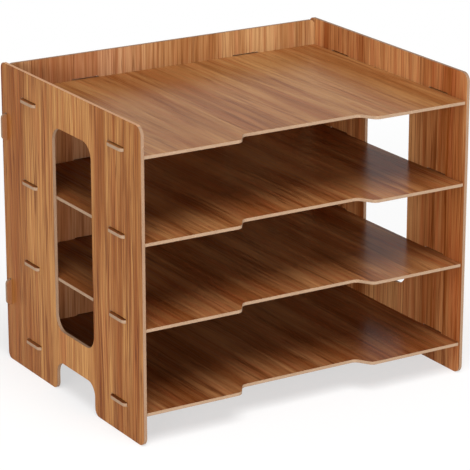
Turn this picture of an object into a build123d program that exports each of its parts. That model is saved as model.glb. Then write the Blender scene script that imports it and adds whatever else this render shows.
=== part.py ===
from build123d import *
import os

# Desk organizer for documents: four shelves slotted into two side panels and a back panel.
# Millimetres. +Z is up, the open front faces -Y, and the origin is the middle of the base on the floor.

# Board and overall sizes
board = 3.0
overall_width = 330.0
panel_depth = 252.0
panel_height = 280.0
corner_radius = 8.0
rear_corner_radius = 6.0

# Side panels: the window and the foot notch lie midway between the front and the rear row of shelf slots
opening_width = 70.0
window_bottom = 58.0
window_top_margin = 36.0
window_radius = 14.0
foot_notch_height = 28.0
foot_notch_radius = 12.0
toe_radius = 7.0

# Back panel: it is set in from the rear edges of the side panels and a little below their top,
# its lower edge stays off the floor, and its side tabs go through closed slots
back_inset = 6.0
back_floor_gap = 8.0
back_top_drop = 1.0
back_corner_radius = 5.0
back_tab_length = 24.0
back_tab_margin = 57.5
back_tab_proud = 4.5

# Shelves: the front edges stand a little behind the side panels, with a shallow finger cut in the middle
shelf_names = ("bottom_shelf", "lower_shelf", "upper_shelf", "top_shelf")
bottom_shelf_height = 30.0
tray_rim_height = 25.0
shelf_setback = 1.0
shelf_corner_radius = 1.2
finger_cut_depth = 14.3
finger_cut_floor = 117.0
finger_cut_slope_run = 9.5
finger_cut_radius = 6.0

# Tabs and slots: a tab rests on the lower face of its slot, and the slack is above it and at its ends
# The margins run from the edges of the panels to the middle of a tab
tab_length = 27.0
tab_proud = 2.5
tab_radius = 4.0
front_tab_margin = 42.5
rear_tab_margin = 52.5
back_slot_margin = 80.0
slot_top_gap = 0.8
slot_end_gap = 0.3
butt_gap = 0.2

# One overrun serves every cut that is open to the outside
cut_overrun = 5.0
pick_tolerance = 0.001

# Places that follow from the sizes
outer_x = overall_width / 2
inner_x = outer_x - board
shelf_tab_end_x = outer_x + tab_proud
back_tab_end_x = outer_x + back_tab_proud
front_y = -panel_depth / 2
rear_y = panel_depth / 2
back_rear_y = rear_y - back_inset
back_front_y = back_rear_y - board
shelf_tab_end_y = back_rear_y + tab_proud
back_top = panel_height - back_top_drop
shelf_pitch = (panel_height - tray_rim_height - bottom_shelf_height) / (len(shelf_names) - 1)
shelf_tops = [bottom_shelf_height + level * shelf_pitch for level in range(len(shelf_names))]
side_tab_ys = [front_y + front_tab_margin, rear_y - rear_tab_margin]
opening_y = sum(side_tab_ys) / len(side_tab_ys)
rear_tab_xs = [back_slot_margin - outer_x, outer_x - back_slot_margin]
back_tab_zs = [back_floor_gap + back_tab_margin, back_top - back_tab_margin]


def span(low_u, low_v, high_u, high_v):
    """A rectangle given by its two opposite corners."""
    middle = ((low_u + high_u) / 2, (low_v + high_v) / 2)
    return Pos(*middle) * Rectangle(high_u - low_u, high_v - low_v)


def rounded(outline, places, radius):
    """The outline with a fillet at each of the places where it has a corner."""
    corners = [
        corner
        for corner in outline.vertices()
        if any(abs(corner.X - u) < pick_tolerance and abs(corner.Y - v) < pick_tolerance for u, v in places)
    ]
    return fillet(corners, radius)


def shelf_slot(middle, shelf_top):
    """The slot for a shelf tab: the tab lies on its lower edge, with slack above and at both ends."""
    half = tab_length / 2 + slot_end_gap
    return span(middle - half, shelf_top - board, middle + half, shelf_top + slot_top_gap)


def side_outline():
    """A side panel in depth and height, with its window, foot notch and slots."""
    half = opening_width / 2
    front_side, rear_side = opening_y - half, opening_y + half
    outline = span(front_y, 0, rear_y, panel_height)
    outline = rounded(outline, [(front_y, 0), (front_y, panel_height)], corner_radius)
    outline = rounded(outline, [(rear_y, 0), (rear_y, panel_height)], rear_corner_radius)
    outline -= span(front_side, -cut_overrun, rear_side, foot_notch_height)
    outline = rounded(outline, [(front_side, foot_notch_height), (rear_side, foot_notch_height)], foot_notch_radius)
    outline = rounded(outline, [(front_side, 0), (rear_side, 0)], toe_radius)
    window_height = panel_height - window_top_margin - window_bottom
    window = RectangleRounded(opening_width, window_height, window_radius)
    outline -= Pos(opening_y, window_bottom + window_height / 2) * window
    for shelf_top in shelf_tops:
        for middle in side_tab_ys:
            outline -= shelf_slot(middle, shelf_top)
    for middle in back_tab_zs:
        low = middle - back_tab_length / 2
        high = middle + back_tab_length / 2 + slot_top_gap
        outline -= span(back_front_y - butt_gap, low, back_rear_y + butt_gap, high)
    return outline


def back_outline():
    """The back panel in width and height, with its side tabs and the slots for the shelves' rear tabs."""
    half = inner_x - butt_gap
    outline = span(-half, back_floor_gap, half, back_top)
    ends = [(u, v) for u in (-half, half) for v in (back_floor_gap, back_top)]
    outline = rounded(outline, ends, back_corner_radius)
    tab_corners = []
    for middle in back_tab_zs:
        low, high = middle - back_tab_length / 2, middle + back_tab_length / 2
        outline += span(-back_tab_end_x, low, back_tab_end_x, high)
        tab_corners += [(u, v) for u in (-back_tab_end_x, back_tab_end_x) for v in (low, high)]
    outline = rounded(outline, tab_corners, tab_radius)
    for shelf_top in shelf_tops:
        for middle in rear_tab_xs:
            outline -= shelf_slot(middle, shelf_top)
    return outline


def shelf_outline():
    """A shelf seen from above: finger cut in front, two tabs on each side and two at the rear."""
    half = inner_x - butt_gap
    edge_y = front_y + shelf_setback
    floor_y = edge_y + finger_cut_depth
    rear_edge_y = back_front_y - butt_gap
    outline = span(-half, edge_y, half, rear_edge_y)
    outline = rounded(outline, [(-half, edge_y), (half, edge_y)], shelf_corner_radius)
    floor = finger_cut_floor / 2
    mouth = floor + finger_cut_slope_run
    cut_points = [
        (-mouth, edge_y),
        (-floor, floor_y),
        (floor, floor_y),
        (mouth, edge_y),
        (mouth, edge_y - cut_overrun),
        (-mouth, edge_y - cut_overrun),
    ]
    outline -= make_face(Polyline(*cut_points, close=True))
    outline = rounded(outline, cut_points[: cut_points.index((mouth, edge_y)) + 1], finger_cut_radius)
    tab_corners = []
    for middle in side_tab_ys:
        low, high = middle - tab_length / 2, middle + tab_length / 2
        outline += span(-shelf_tab_end_x, low, shelf_tab_end_x, high)
        tab_corners += [(u, v) for u in (-shelf_tab_end_x, shelf_tab_end_x) for v in (low, high)]
    for middle in rear_tab_xs:
        low, high = middle - tab_length / 2, middle + tab_length / 2
        outline += span(low, floor_y, high, shelf_tab_end_y)
        tab_corners += [(low, shelf_tab_end_y), (high, shelf_tab_end_y)]
    return rounded(outline, tab_corners, tab_radius)


# The outlines become boards: each is stood or laid in its place and given the board's thickness
side_face = side_outline()
shelf_face = shelf_outline()
boards = {
    "left_side_panel": extrude(Plane.YZ.offset(-outer_x) * side_face, amount=board),
    "right_side_panel": extrude(Plane.YZ.offset(inner_x) * side_face, amount=board),
    "back_panel": extrude(Plane.XZ.offset(-back_rear_y) * back_outline(), amount=board),
}
for name, shelf_top in zip(shelf_names, shelf_tops):
    boards[name] = extrude(Plane.XY.offset(shelf_top - board) * shelf_face, amount=board)

os.makedirs("parts", exist_ok=True)
for name, solid in boards.items():
    export_step(solid, f"parts/{name}.step")
    size = solid.bounding_box().size
    print(f"{name}: {size.X:.1f} x {size.Y:.1f} x {size.Z:.1f} mm, volume {solid.volume:.0f} mm3")
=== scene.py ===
import math
from itertools import product

import bpy
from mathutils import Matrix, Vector


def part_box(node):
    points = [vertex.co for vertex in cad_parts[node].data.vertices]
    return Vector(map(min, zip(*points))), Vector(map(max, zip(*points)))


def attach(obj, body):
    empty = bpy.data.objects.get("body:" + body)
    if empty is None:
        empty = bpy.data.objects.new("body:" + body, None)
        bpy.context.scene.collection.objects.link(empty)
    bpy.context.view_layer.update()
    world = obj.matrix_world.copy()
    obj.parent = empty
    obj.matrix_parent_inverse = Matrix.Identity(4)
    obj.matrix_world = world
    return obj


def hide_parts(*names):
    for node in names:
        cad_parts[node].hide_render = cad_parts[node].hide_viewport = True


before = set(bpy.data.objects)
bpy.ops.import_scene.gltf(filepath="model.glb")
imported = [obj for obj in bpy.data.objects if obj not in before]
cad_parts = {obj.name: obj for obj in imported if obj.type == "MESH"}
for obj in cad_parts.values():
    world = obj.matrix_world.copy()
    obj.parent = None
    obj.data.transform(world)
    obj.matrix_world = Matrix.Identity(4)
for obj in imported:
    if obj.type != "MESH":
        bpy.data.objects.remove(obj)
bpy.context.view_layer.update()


# The camera stands in front and to the left of the organizer, well above it, with a long lens.
# It aims at a point above the middle of the base, so the organizer fills the square picture.
camera_turn = math.radians(-31.5)
camera_rise = math.radians(18.26)
camera_distance = 2.345
camera_lens_mm = 196.7
camera_reach = 100
aim_sideways = 0.0015
aim_up = 0.1184

view_back = Vector((
    math.sin(camera_turn) * math.cos(camera_rise),
    -math.cos(camera_turn) * math.cos(camera_rise),
    math.sin(camera_rise),
))
view_right = Vector((math.cos(camera_turn), math.sin(camera_turn), 0))
view_up = view_back.cross(view_right)
aim_point = aim_sideways * view_right + aim_up * view_up
bpy.ops.object.camera_add(
    location=aim_point + camera_distance * view_back,
    rotation=view_back.to_track_quat("Z", "Y").to_euler(),
)
camera = bpy.context.object
camera.name = "camera"
camera.data.lens = camera_lens_mm
camera.data.clip_end = camera_reach
bpy.context.scene.camera = camera


# Left side panel: 3 mm fibreboard with a printed wood film on both faces, cut out in one pass.
# It stands on its lower edge, and the tabs of the shelves and the back panel go through its slots.
mm = 0.001
axis_x, axis_y, axis_z = range(3)
board = 3 * mm
front_corner_radius = 8 * mm
rear_corner_radius = 6 * mm
opening_front = -40 * mm
opening_rear = 30 * mm
window_bottom = 58 * mm
window_top = 244 * mm
window_radius = 14 * mm
foot_notch_height = 28 * mm
foot_notch_radius = 12 * mm
toe_radius = 7 * mm
shelf_names = ("bottom_shelf", "lower_shelf", "upper_shelf", "top_shelf")
shelf_tab_length = 27 * mm
shelf_tab_middles = (-83.5 * mm, 73.5 * mm)
back_tab_length = 24 * mm
back_tab_middles = (65.5 * mm, 221.5 * mm)
slot_top_gap = 1.0 * mm
slot_far_gap = 0.08 * mm
slot_end_gap = 0.3 * mm
butt_gap = 0.2 * mm
cut_overrun = 5 * mm
arc_steps = 10
edge_break = 0.18 * mm
edge_break_steps = 2
sharp_angle = math.radians(40)
smooth_angle = math.radians(50)
# A face looks along an axis when its normal reaches this far along it
facing = 0.7
# Places this close are one place, and a slot's cutter reaches this far past its board
touch = 0.01 * mm


def select_only(piece):
    """Makes a piece the only one that the next operator acts on."""
    bpy.ops.object.select_all(action="DESELECT")
    piece.select_set(True)
    bpy.context.view_layer.objects.active = piece


def block(name, low, high):
    """A box between two opposite corners, with its place in its mesh."""
    bpy.ops.object.select_all(action="DESELECT")
    middle = [(a + b) / 2 for a, b in zip(low, high)]
    bpy.ops.mesh.primitive_cube_add(size=1, location=middle)
    made = bpy.context.object
    made.name = name
    made.scale = [b - a for a, b in zip(low, high)]
    bpy.ops.object.transform_apply(location=True, rotation=False, scale=True)
    return made


def copy_of(piece, name):
    """A copy of a piece, with a mesh of its own."""
    select_only(piece)
    bpy.ops.object.duplicate()
    made = bpy.context.object
    made.name = name
    return made


def everything(part):
    """The test for pick that every face, edge or corner passes."""
    return True


def pick(piece, kind, wanted):
    """Opens a piece in edit mode with only those faces, edges or corners selected that pass the test."""
    select_only(piece)
    bpy.ops.object.mode_set(mode="EDIT")
    bpy.ops.mesh.select_mode(type=kind)
    bpy.ops.mesh.select_all(action="DESELECT")
    bpy.ops.object.mode_set(mode="OBJECT")
    mesh = piece.data
    for part in {"FACE": mesh.polygons, "EDGE": mesh.edges, "VERT": mesh.vertices}[kind]:
        part.select = wanted(part)
    bpy.ops.object.mode_set(mode="EDIT")


def move_corners(piece, step, wanted=everything):
    """Moves the corners of a piece that pass the test, within its mesh."""
    pick(piece, "VERT", wanted)
    bpy.ops.transform.translate(value=step)
    bpy.ops.object.mode_set(mode="OBJECT")


def step_along(axis, length):
    """A step of a length along one axis."""
    return [length if n == axis else 0 for n in range(3)]


def round_edges(piece, axis, places, radius, turn=math.pi / 2):
    """Rounds the edges along an axis at the given places, where the outline turns by an angle."""
    others = [n for n in range(3) if n != axis]
    spots = list(places)

    def lies_at(end, spot):
        return all(abs(end[n] - place) < touch for n, place in zip(others, spot))

    def wanted(edge):
        ends = [piece.data.vertices[n].co for n in edge.vertices]
        return any(all(lies_at(end, spot) for end in ends) for spot in spots)

    pick(piece, "EDGE", wanted)
    bpy.ops.mesh.bevel(offset=radius * math.tan(turn / 2), segments=arc_steps, affect="EDGES")
    bpy.ops.object.mode_set(mode="OBJECT")


def slot_cutter(low, high, axis):
    """A cutter for a tab's slot through a board: its gaps close towards the far face, so no light shows."""
    made = block("slot_cutter", low, high)
    spread_axis = axis_y if axis == axis_x else axis_x

    def far_at(corner, end, way):
        return corner.co[axis] > high[axis] - touch and abs(corner.co[way] - end[way]) < touch

    move_corners(made, (0, 0, slot_far_gap - slot_top_gap), lambda corner: far_at(corner, high, axis_z))
    for end, sign in ((low, 1), (high, -1)):
        step = step_along(spread_axis, sign * (slot_end_gap - slot_far_gap))
        move_corners(made, step, lambda corner: far_at(corner, end, spread_axis))
    return made


def apply_modifier(piece, kind, **settings):
    """Adds a modifier with its settings and applies it."""
    select_only(piece)
    modifier = piece.modifiers.new(kind.lower(), kind)
    for name, value in settings.items():
        setattr(modifier, name, value)
    bpy.ops.object.modifier_apply(modifier=modifier.name)


def cut_out(piece, cutters):
    """Takes the joined cutters away from a piece and removes them."""
    select_only(cutters[0])
    for cutter in cutters:
        cutter.select_set(True)
    bpy.ops.object.join()
    tool = bpy.context.object
    apply_modifier(piece, "BOOLEAN", operation="DIFFERENCE", solver="EXACT", object=tool)
    bpy.data.objects.remove(tool)


def finish_board(piece, axis, film, edge):
    """Breaks the sharp edges and gives the two broad faces the film and every cut edge the bare board."""
    limits = {"limit_method": "ANGLE", "angle_limit": sharp_angle}
    apply_modifier(piece, "BEVEL", width=edge_break, segments=edge_break_steps, **limits)
    bpy.ops.object.shade_smooth_by_angle(angle=smooth_angle)
    apply_modifier(piece, "WEIGHTED_NORMAL", keep_sharp=True)
    piece.data.materials.clear()
    piece.data.materials.append(film)
    piece.data.materials.append(edge)
    for face in piece.data.polygons:
        face.material_index = 0 if abs(face.normal[axis]) > facing else 1


class Wire:
    """A shader socket that takes part in Python sums: each operator adds a Math node to its tree."""

    def __init__(self, tree, socket=None):
        self.tree = tree
        self.socket = socket

    def node(self, kind, settings=None, inlets=None, outlet=0):
        """Adds any other node, with its settings first, then the values or links of its sockets."""
        made = self.tree.nodes.new("ShaderNode" + kind)
        for name, value in (settings or {}).items():
            setattr(made, name, value)
        for name, value in (inlets or {}).items():
            if isinstance(value, Wire):
                self.tree.links.new(value.socket, made.inputs[name])
            else:
                made.inputs[name].default_value = value
        return Wire(self.tree, made.outputs[outlet]) if made.outputs else made

    def math(self, operation, *values):
        """Adds the Math node for one operator."""
        return self.node("Math", {"operation": operation}, dict(enumerate(values)))

    def __add__(self, other):
        return self.math("ADD", self, other)

    def __radd__(self, other):
        return self.math("ADD", other, self)

    def __sub__(self, other):
        return self.math("SUBTRACT", self, other)

    def __rsub__(self, other):
        return self.math("SUBTRACT", other, self)

    def __mul__(self, other):
        return self.math("MULTIPLY", self, other)

    def __rmul__(self, other):
        return self.math("MULTIPLY", other, self)

    def __abs__(self):
        return self.math("ABSOLUTE", self)

    def ease(self, low, high, start=0.0, end=1.0):
        """A smooth step from start to end while the value goes from low to high."""
        spans = {"From Min": low, "From Max": high, "To Min": start, "To Max": end}
        return self.node("MapRange", {"interpolation_type": "SMOOTHSTEP"}, {"Value": self, **spans})

    def part(self, axis):
        """The part of a vector that lies along one axis."""
        return self.node("SeparateXYZ", None, {"Vector": self}, axis)

    def blend(self, amount, under, over, **settings):
        """One colour laid over another by an amount."""
        colours = {"data_type": "RGBA", **settings}
        # The colour sockets of this node come after those for numbers and for vectors
        return self.node("Mix", colours, {0: amount, 6: under, 7: over}, 2)


def new_material(name):
    """An empty material and a wire into its tree."""
    material = bpy.data.materials.new(name)
    material.use_nodes = True
    material.node_tree.nodes.clear()
    return material, Wire(material.node_tree)


relief_depth = 0.1 * mm


def coat(wire, colour, roughness, ior, relief, relief_share):
    """Closes the material of a film or an edge: its colour, its gloss and its fine relief."""
    bump = wire.node("Bump", None, {"Strength": relief_share, "Distance": relief_depth, "Height": relief})
    looks = {"Base Color": colour, "Roughness": roughness, "IOR": ior, "Normal": bump}
    shader = wire.node("BsdfPrincipled", None, looks)
    wire.node("OutputMaterial", None, {"Surface": shader})


def tone(red, green, blue):
    """A colour from its screen values of 0 to 255."""
    def linear(value):
        share = value / 255
        return share / 12.92 if share <= 0.04045 else ((share + 0.055) / 1.055) ** 2.4

    return (linear(red), linear(green), linear(blue), 1)


noise_mean = 0.5
film_gold = tone(192, 136, 77)
film_tan = tone(162, 102, 51)
film_blush = tone(168, 90, 46)
film_red = tone(124, 60, 14)
film_line = tone(92, 40, 10)
# The plain colour past a film's rim is painted shade for the lit tab ends
film_plain_shade = tone(140, 94, 62)
film_flush = (1.08, 1.06, 1.28, 1)
film_ior = 1.11
film_roughness = 0.27
film_roughness_range = 0.12
film_relief_share = 0.08
thread_relief_share = 0.4
# Layers of the print: width across the grain, length along it, place on the roll, detail and roughness
bow_layer = (70 * mm, 150 * mm, 11, 2.0, 0.5)
waver_layer = (14 * mm, 60 * mm, 23, 2.0, 0.5)
band_layer = (26 * mm, 200 * mm, 3, 2.0, 0.6)
group_layer = (15 * mm, 130 * mm, 17, 2.0, 0.55)
streak_layer = (3.6 * mm, 90 * mm, 5, 4.0, 0.65)
thread_layer = (1.3 * mm, 60 * mm, 7, 2.0, 0.65)
ridge_layer = (5 * mm, 90 * mm, 9, 2.0, 0.5)
pore_layer = (0.5 * mm, 12 * mm, 13, 1.0, 0.5)
patch_layer = (6 * mm, 70 * mm, 19, 2.0, 0.5)
bow_reach = 11 * mm
waver_reach = 2 * mm
patch_share = 0.4
group_share = 0.4
streak_share = 0.46
thread_share = 0.6
line_share = 0.58
pore_share = 0.3
# How far the noise moves on between the two faces of a board, so that they differ
faces_apart = 2
# The heart and the flush are full up to their core and end at their reach
heart_core = 15 * mm
heart_reach = 55 * mm
heart_calm = 0.16
heart_stir = -0.035
flush_core = 10 * mm
flush_reach = 100 * mm
rim_fade = 1 * mm


def wood_film(name, across, along, seed, stretch, strength, painted_shading_tint, fine, heart=None, flush=None, rim=None):
    """Printed wood film: broad bands, groups of fine streaks, thin broken lines and pores along the grain.

    The figure is drawn out by the stretch and laid over an even tan with the given strength, and its fine
    lines are as strong as fine says. The whole print is tinted with painted shading: the tint lightens or
    darkens each board's film for the light it gets. Round its heart, a place across the grain, it is calm
    and pale, round its flush it is paler and pinker, and past its rim, a distance from the middle, it has a
    plain darker colour that is painted shade.
    """
    material, wire = new_material(name)
    place = wire.node("TexCoord", outlet="Object")
    side = place.part(across)
    grain = place.part(along)
    depth = place.part(axis_x + axis_y + axis_z - across - along)

    def figure(width, length, shift, detail, roughness, start=side):
        """One layer of the print: noise that is drawn out along the grain."""
        u = start * (1 / width)
        v = grain * (1 / (length * stretch))
        w = depth * (faces_apart / board) + (seed + shift)
        point = wire.node("CombineXYZ", None, {"X": u, "Y": v, "Z": w})
        texture = {"Vector": point, "Scale": 1.0, "Detail": detail, "Roughness": roughness}
        return wire.node("TexNoise", None, texture)

    bow = (figure(*bow_layer) - noise_mean) * bow_reach
    waver = (figure(*waver_layer) - noise_mean) * waver_reach
    bent = side + (bow + waver)
    bands = figure(*band_layer, bent)
    groups = figure(*group_layer, bent)
    streaks = figure(*streak_layer, bent)
    threads = figure(*thread_layer, bent)
    ridges = abs(figure(*ridge_layer, bent) - noise_mean)
    pores = figure(*pore_layer)
    patches = figure(*patch_layer, bent)

    if heart is not None:
        calm = abs(side - heart).ease(heart_core, heart_reach, heart_calm, heart_stir)
        bands = bands + calm
        groups = groups - calm
    # Each layer comes in between two levels of its noise, which lies mostly between 0.3 and 0.7
    dense = groups.ease(0.4, 0.62, 0.3, 1)
    broken = groups.ease(0.36, 0.56, 0.15, 1) * streaks.ease(0.36, 0.54)
    colour = wire.blend(bands.ease(0.34, 0.64), film_tan, film_gold)
    colour = wire.blend(patches.ease(0.48, 0.66) * patch_share, colour, film_blush)
    colour = wire.blend(groups.ease(0.48, 0.7) * group_share, colour, film_red)
    colour = wire.blend(streaks.ease(0.48, 0.6) * dense * (streak_share * fine), colour, film_red)
    colour = wire.blend(threads.ease(0.48, 0.58) * (thread_share * fine), colour, film_red)
    colour = wire.blend(ridges.ease(0.005, 0.045, 1, 0) * broken * (line_share * fine), colour, film_line)
    colour = wire.blend(pores.ease(0.6, 0.75) * pore_share, colour, film_line)
    colour = wire.blend(strength, film_tan, colour, clamp_factor=False)
    # The tint is painted shading, lighter or darker for the light on each board
    colour = wire.node("VectorMath", {"operation": "MULTIPLY"}, {0: colour, 1: painted_shading_tint})
    if flush is not None:
        near = abs(side - flush).ease(flush_core, flush_reach, 1, 0)
        colour = wire.blend(near, colour, film_flush, blend_type="MULTIPLY")
    # Past the rim the film is plain and darker: painted shade on the tab ends
    if rim is not None:
        colour = wire.blend(abs(side).ease(rim, rim + rim_fade), colour, film_plain_shade)

    gloss = film_roughness + (threads - noise_mean) * film_roughness_range
    relief = threads * thread_relief_share + pores.ease(0.55, 0.75, 0, -1)
    coat(wire, colour, gloss, film_ior, relief, film_relief_share)
    return material


edge_core = tone(165, 138, 113)
edge_fleck = tone(144, 115, 90)
edge_skin = tone(126, 90, 66)
# A painted highlight and painted shade for the top edges of the panels
edge_painted_highlight = tone(202, 154, 117)
edge_painted_shade = tone(146, 116, 94)
edge_ior = 1.3
edge_roughness = 0.75
edge_roughness_range = 0.2
edge_relief_share = 0.3
fibre_noise = {"Scale": 900.0, "Detail": 3.0, "Roughness": 0.65}
cloud_noise = {"Scale": 60.0, "Detail": 2.0}
fibre_share = 0.6
cloud_share = 0.25
# Distances from the middle of the board where it starts to be dense and where the film's line lies
dense_start = 0.7 * mm
skin_start = 1.3 * mm
skin_full = 1.45 * mm
dense_share = 0.3
skin_share = 0.7
# Depths below the top of a panel where its painted top shading starts and where it is full
painted_top_start = 1 * mm
painted_top_full = 0.3 * mm
painted_top_share = 0.8


def bare_edge(name, layer, middle, seed, painted_shade, top=None, painted_top_shading=None):
    """Cut fibreboard: pale core with brown fibres, denser near the faces, and a thin film line on both rims.

    The whole edge is darkened by painted shade, and at its top, a height, it takes the given colour of
    painted top shading.
    """
    material, wire = new_material(name)
    place = wire.node("TexCoord", outlet="Object")
    depth = abs(place.part(layer) - middle)
    moved = wire.node("VectorMath", {"operation": "ADD"}, {0: place, 1: (seed, seed, seed)})
    fibres = wire.node("TexNoise", None, {"Vector": moved, **fibre_noise})
    clouds = wire.node("TexNoise", None, {"Vector": moved, **cloud_noise})
    flecks = fibres.ease(0.45, 0.75) * fibre_share + clouds.ease(0.4, 0.7) * cloud_share
    colour = wire.blend(flecks, edge_core, edge_fleck)
    colour = wire.blend(depth.ease(dense_start, skin_start) * dense_share, colour, edge_fleck)
    # Painted shade darkens the whole edge, on top of the film's line at the rims
    skin = depth.ease(skin_start, skin_full) * (skin_share - painted_shade) + painted_shade
    colour = wire.blend(skin, colour, edge_skin)
    # The top edge takes the colour of its painted top shading
    if top is not None:
        painted_top_mask = place.part(axis_z).ease(top - painted_top_start, top - painted_top_full)
        colour = wire.blend(painted_top_mask * painted_top_share, colour, painted_top_shading)
    roughness = edge_roughness + (fibres - noise_mean) * edge_roughness_range
    coat(wire, colour, roughness, edge_ior, fibres, edge_relief_share)
    return material


side_low, side_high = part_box("left_side_panel")
back_low, back_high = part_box("back_panel")
shelf_tops = [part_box(name)[1].z for name in shelf_names]
opening_sides = (opening_front, opening_rear)
window_middle = sum(opening_sides) / 2
slot_half = shelf_tab_length / 2 + slot_end_gap

left_panel = block("side_board_left", side_low, side_high)
panel_ends = (side_low.z, side_high.z)
round_edges(left_panel, axis_x, product([side_low.y], panel_ends), front_corner_radius)
round_edges(left_panel, axis_x, product([side_high.y], panel_ends), rear_corner_radius)

cut_low_x = side_low.x - cut_overrun
cut_high_x = side_high.x + cut_overrun
window = block("window", (cut_low_x, opening_front, window_bottom), (cut_high_x, opening_rear, window_top))
round_edges(window, axis_x, product(opening_sides, (window_bottom, window_top)), window_radius)
notch_low = (cut_low_x, opening_front, -cut_overrun)
notch = block("notch", notch_low, (cut_high_x, opening_rear, foot_notch_height))
round_edges(notch, axis_x, product(opening_sides, [foot_notch_height]), foot_notch_radius)
side_cutters = [window, notch]
for top, middle in product(shelf_tops, shelf_tab_middles):
    low = (side_low.x - touch, middle - slot_half, top - board)
    high = (side_high.x + touch, middle + slot_half, top + slot_top_gap)
    side_cutters.append(slot_cutter(low, high, axis_x))
for middle in back_tab_middles:
    low = (side_low.x - touch, back_low.y - butt_gap, middle - back_tab_length / 2)
    high = (side_high.x + touch, back_high.y + butt_gap, middle + back_tab_length / 2 + slot_top_gap)
    side_cutters.append(slot_cutter(low, high, axis_x))
cut_out(left_panel, side_cutters)
round_edges(left_panel, axis_x, product(opening_sides, [side_low.z]), toe_radius)

# The right side panel starts as a copy of the bare board
right_panel = copy_of(left_panel, "side_board_right")
# Painted shading in the film tint; painted shade on the edges and a painted highlight on the top edge
left_film = wood_film(
    "left_film", axis_y, axis_z, seed=706.1, stretch=2.2, strength=1.0, painted_shading_tint=(0.95, 1.0, 1.08), fine=1.15,
    heart=window_middle,
)
left_edge = bare_edge(
    "left_edge", axis_x, side_low.x + board / 2, seed=1.0, painted_shade=0.42, top=side_high.z, painted_top_shading=edge_painted_highlight,
)
finish_board(left_panel, axis_x, left_film, left_edge)
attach(left_panel, "root")
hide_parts("left_side_panel")


# Right side panel: the same board cut with the same template, standing on the other side.
# Its film comes from another stretch of the printed roll.
right_heart_shift = -12 * mm

right_low, right_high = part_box("right_side_panel")
move_corners(right_panel, (right_low.x - side_low.x, 0, 0))
# Painted light in the pale, cool film tint; painted shade on the edges, most on the top edge
right_film = wood_film(
    "right_film", axis_y, axis_z, seed=1034.0, stretch=2.2, strength=1.25, painted_shading_tint=(1.15, 1.17, 1.5), fine=0.8,
    heart=window_middle + right_heart_shift,
)
right_edge = bare_edge(
    "right_edge", axis_x, right_low.x + board / 2, seed=2.0, painted_shade=0.4, top=right_high.z, painted_top_shading=edge_painted_shade,
)
finish_board(right_panel, axis_x, right_film, right_edge)
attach(right_panel, "root")
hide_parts("right_side_panel")


# Back panel: the same filmed board, set in between the side panels with its lower edge off the floor.
# Two tabs on each side go through the side panels, and its slots take the rear tabs of the shelves.
back_corner_radius = 5 * mm
tab_radius = 4 * mm
rear_tab_middles = (-85 * mm, 85 * mm)
back_heart = 95 * mm
back_flush = -90 * mm
flat_angle = math.radians(1)


def slice_across(piece, axis, places):
    """Cuts a piece through at each place along an axis, without parting it."""
    for place in places:
        pick(piece, "FACE", everything)
        bpy.ops.mesh.bisect(plane_co=step_along(axis, place), plane_no=step_along(axis, 1))
        bpy.ops.object.mode_set(mode="OBJECT")


def pull_tabs(piece, axis, sign, spread_axis, middles, length, reach):
    """Pulls tabs out of one side face of a piece: their middles and length lie along the spread axis."""
    def wanted(face):
        offset = min(abs(face.center[spread_axis] - middle) for middle in middles)
        return face.normal[axis] * sign > facing and offset < length / 2

    pick(piece, "FACE", wanted)
    bpy.ops.mesh.extrude_region_move(TRANSFORM_OT_translate={"value": step_along(axis, sign * reach)})
    bpy.ops.object.mode_set(mode="OBJECT")


def merge_flat(piece):
    """Joins the flat faces that the slices left side by side, and puts corners and faces in a fixed order.

    Extruding leaves them in another order on every run, which later steps would follow.
    """
    pick(piece, "FACE", everything)
    bpy.ops.mesh.dissolve_limited(angle_limit=flat_angle)
    bpy.ops.object.mode_set(mode="OBJECT")
    mesh = piece.data
    corners = sorted(tuple(corner.co) for corner in mesh.vertices)
    faces = []
    for face in mesh.polygons:
        loop = [corners.index(tuple(mesh.vertices[n].co)) for n in face.vertices]
        first = loop.index(min(loop))
        faces.append(loop[first:] + loop[:first])
    mesh.clear_geometry()
    mesh.from_pydata(corners, [], sorted(faces))


def tab_ends(middles, length):
    """The places where tabs with these middles start and end."""
    return [middle + end for middle in middles for end in (-length / 2, length / 2)]


body_half = -side_high.x - butt_gap
body_sides = (-body_half, body_half)
back_tab_ends = tab_ends(back_tab_middles, back_tab_length)
back_tab_reach = back_high.x - body_half
back_panel = block("back_board", (-body_half, back_low.y, back_low.z), (body_half, back_high.y, back_high.z))
slice_across(back_panel, axis_z, back_tab_ends)
for sign in (-1, 1):
    pull_tabs(back_panel, axis_x, sign, axis_z, back_tab_middles, back_tab_length, back_tab_reach)
merge_flat(back_panel)
round_edges(back_panel, axis_y, product(body_sides, (back_low.z, back_high.z)), back_corner_radius)
round_edges(back_panel, axis_y, product((back_low.x, back_high.x), back_tab_ends), tab_radius)
back_cutters = []
for top, middle in product(shelf_tops, rear_tab_middles):
    low = (middle - slot_half, back_low.y - touch, top - board)
    high = (middle + slot_half, back_high.y + touch, top + slot_top_gap)
    back_cutters.append(slot_cutter(low, high, axis_y))
cut_out(back_panel, back_cutters)
# Painted light in the pale, cool film tint; painted shade on the plain tab ends and the edges, most on top
back_film = wood_film(
    "back_film", axis_x, axis_z, seed=658.8, stretch=2.0, strength=0.88, painted_shading_tint=(1.07, 1.33, 2.0), fine=0.95,
    heart=back_heart, flush=back_flush, rim=body_half,
)
back_edge = bare_edge(
    "back_edge", axis_y, back_low.y + board / 2, seed=3.0, painted_shade=0.5, top=back_high.z, painted_top_shading=edge_painted_shade,
)
finish_board(back_panel, axis_y, back_film, back_edge)
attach(back_panel, "root")
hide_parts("back_panel")


# Shelves: four filmed boards with the grain from front to back, a shallow finger cut in the front edge,
# two tabs on each side and two at the rear. Each one slides into the slots and lies on their lower faces.
shelf_corner_radius = 1.2 * mm
finger_cut_depth = 14.3 * mm
finger_cut_floor = 117 * mm
finger_cut_run = 9.5 * mm
finger_cut_radius = 6 * mm
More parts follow.
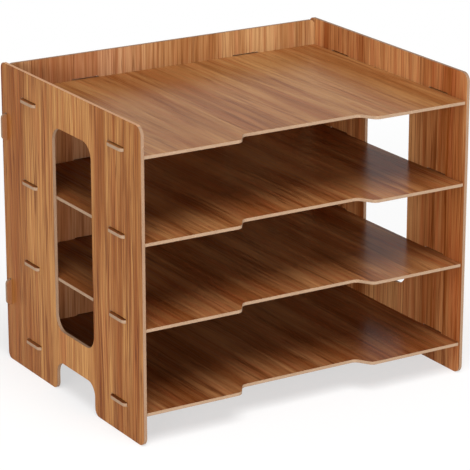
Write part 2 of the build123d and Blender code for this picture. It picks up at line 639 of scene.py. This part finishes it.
# From the bottom shelf up: the place on the roll, the strength of the print and its tint, painted shade
shelf_prints = (
    (1183.3, 1.1, (0.65, 0.61, 0.76)),
    (901.4, 1.2, (0.72, 0.69, 0.85)),
    (619.5, 1.15, (0.77, 0.74, 0.89)),
    (738.8, 0.9, (0.87, 0.91, 1.08)),
)
first_edge_seed = 4.0

shelf_low, shelf_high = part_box(shelf_names[0])
shelf_rear = back_low.y - butt_gap
floor_half = finger_cut_floor / 2
mouth_half = floor_half + finger_cut_run
floor_y = shelf_low.y + finger_cut_depth
side_tab_ends = tab_ends(shelf_tab_middles, shelf_tab_length)
rear_tab_ends = tab_ends(rear_tab_middles, shelf_tab_length)
side_tab_reach = shelf_high.x - body_half
rear_tab_reach = shelf_high.y - shelf_rear


def in_finger_cut(corner):
    """Whether a corner of the straight front edge belongs to the floor of the finger cut."""
    return corner.co.y < shelf_low.y + touch and abs(corner.co.x) < floor_half + touch


shelf = block("shelf", (-body_half, shelf_low.y, shelf_low.z), (body_half, shelf_rear, shelf_high.z))
slice_across(shelf, axis_y, side_tab_ends)
slice_across(shelf, axis_x, rear_tab_ends)
slice_across(shelf, axis_x, (-mouth_half, -floor_half, floor_half, mouth_half))
for sign in (-1, 1):
    pull_tabs(shelf, axis_x, sign, axis_y, shelf_tab_middles, shelf_tab_length, side_tab_reach)
pull_tabs(shelf, axis_y, 1, axis_x, rear_tab_middles, shelf_tab_length, rear_tab_reach)
move_corners(shelf, (0, finger_cut_depth, 0), in_finger_cut)
merge_flat(shelf)
round_edges(shelf, axis_z, product(body_sides, [shelf_low.y]), shelf_corner_radius)
cut_corners = [
    (-mouth_half, shelf_low.y),
    (-floor_half, floor_y),
    (floor_half, floor_y),
    (mouth_half, shelf_low.y),
]
cut_turn = math.atan2(finger_cut_depth, finger_cut_run)
round_edges(shelf, axis_z, cut_corners, finger_cut_radius, cut_turn)
side_tab_corners = list(product((shelf_low.x, shelf_high.x), side_tab_ends))
rear_tab_corners = list(product(rear_tab_ends, [shelf_high.y]))
round_edges(shelf, axis_z, side_tab_corners + rear_tab_corners, tab_radius)

for level, name in enumerate(shelf_names):
    shelf_board = copy_of(shelf, name.replace("shelf", "board"))
    move_corners(shelf_board, (0, 0, shelf_tops[level] - shelf_tops[0]))
    seed, strength, painted_shading_tint = shelf_prints[level]
    film = wood_film(
        name + "_film", axis_x, axis_y, seed=seed, stretch=2.0, strength=strength, painted_shading_tint=painted_shading_tint, fine=0.75,
    )
    # The shelf edges have a little painted shade
    edge = bare_edge(
        name + "_edge", axis_z, shelf_tops[level] - board / 2, seed=first_edge_seed + level, painted_shade=0.1,
    )
    finish_board(shelf_board, axis_z, film, edge)
    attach(shelf_board, "root")
    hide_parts(name)
bpy.data.objects.remove(shelf)


# Studio: a wide white floor that keeps a light shadow, an even white surround and four soft lamps:
# a large one above and three wide ones lower down, in front, at the front left corner and on the left.
# The glossy film mirrors the surround and not the lamps.
white = (1, 1, 1, 1)
floor_size = 12.0
shadow_share = 0.4
shadow_reach = 0.5
surround_strength = 0.2
# Each lamp's name, place, width, height and watts
lamps = (
    ("top_lamp", Vector((-1.2, -4.4, 9.6)), 6.9, 6.9, 960.0),
    ("front_lamp", Vector((-0.7, -2.8, 0.30)), 1.6, 0.5, 43.0),
    ("corner_lamp", Vector((-3.4, -2.6, 1.1)), 1.6, 0.8, 47.0),
    ("left_lamp", Vector((-4.5, -0.6, 1.2)), 2.0, 1.0, 30.0),
)


def seen_directly(wire):
    """1 for rays that show a surface, straight on, mirrored or through glass, and 0 for rays that light."""
    rays = ("Is Camera Ray", "Is Glossy Ray", "Is Transmission Ray")
    return sum(wire.node("LightPath", outlet=ray) for ray in rays)


bpy.ops.object.select_all(action="DESELECT")
bpy.ops.mesh.primitive_plane_add(size=floor_size)
floor = bpy.context.object
floor.name = "studio_floor"
floor_material, wire = new_material("studio_floor")
matt = wire.node("BsdfDiffuse", None, {"Color": white})
bright = wire.node("Emission", None, {"Color": white, "Strength": 1.0})
place = wire.node("TexCoord", outlet="Object")
distance = wire.node("VectorMath", {"operation": "LENGTH"}, {0: place}, "Value")
share = distance.ease(shadow_reach, 2 * shadow_reach, shadow_share, 0)
surface = wire.node("MixShader", None, {0: seen_directly(wire) * (1 - share), 1: matt, 2: bright})
wire.node("OutputMaterial", None, {"Surface": surface})
floor.data.materials.append(floor_material)

world = bpy.data.worlds.new("studio")
world.use_nodes = True
world.node_tree.nodes.clear()
bpy.context.scene.world = world
wire = Wire(world.node_tree)
surround_light = surround_strength + seen_directly(wire) * (1 - surround_strength)
surround = wire.node("Background", None, {"Color": white, "Strength": surround_light})
wire.node("OutputWorld", None, {"Surface": surround})

lamp_aim = Vector((0, 0, side_high.z / 2))
for lamp_name, lamp_place, lamp_width, lamp_height, lamp_watts in lamps:
    lamp_turn = (lamp_place - lamp_aim).to_track_quat("Z", "Y").to_euler()
    bpy.ops.object.light_add(type="AREA", location=lamp_place, rotation=lamp_turn)
    lamp = bpy.context.object
    lamp.name = lamp_name
    lamp.data.shape = "RECTANGLE"
    lamp.data.size = lamp_width
    lamp.data.size_y = lamp_height
    lamp.data.energy = lamp_watts
    lamp.visible_glossy = False

bpy.context.scene.view_settings.view_transform = "Standard"
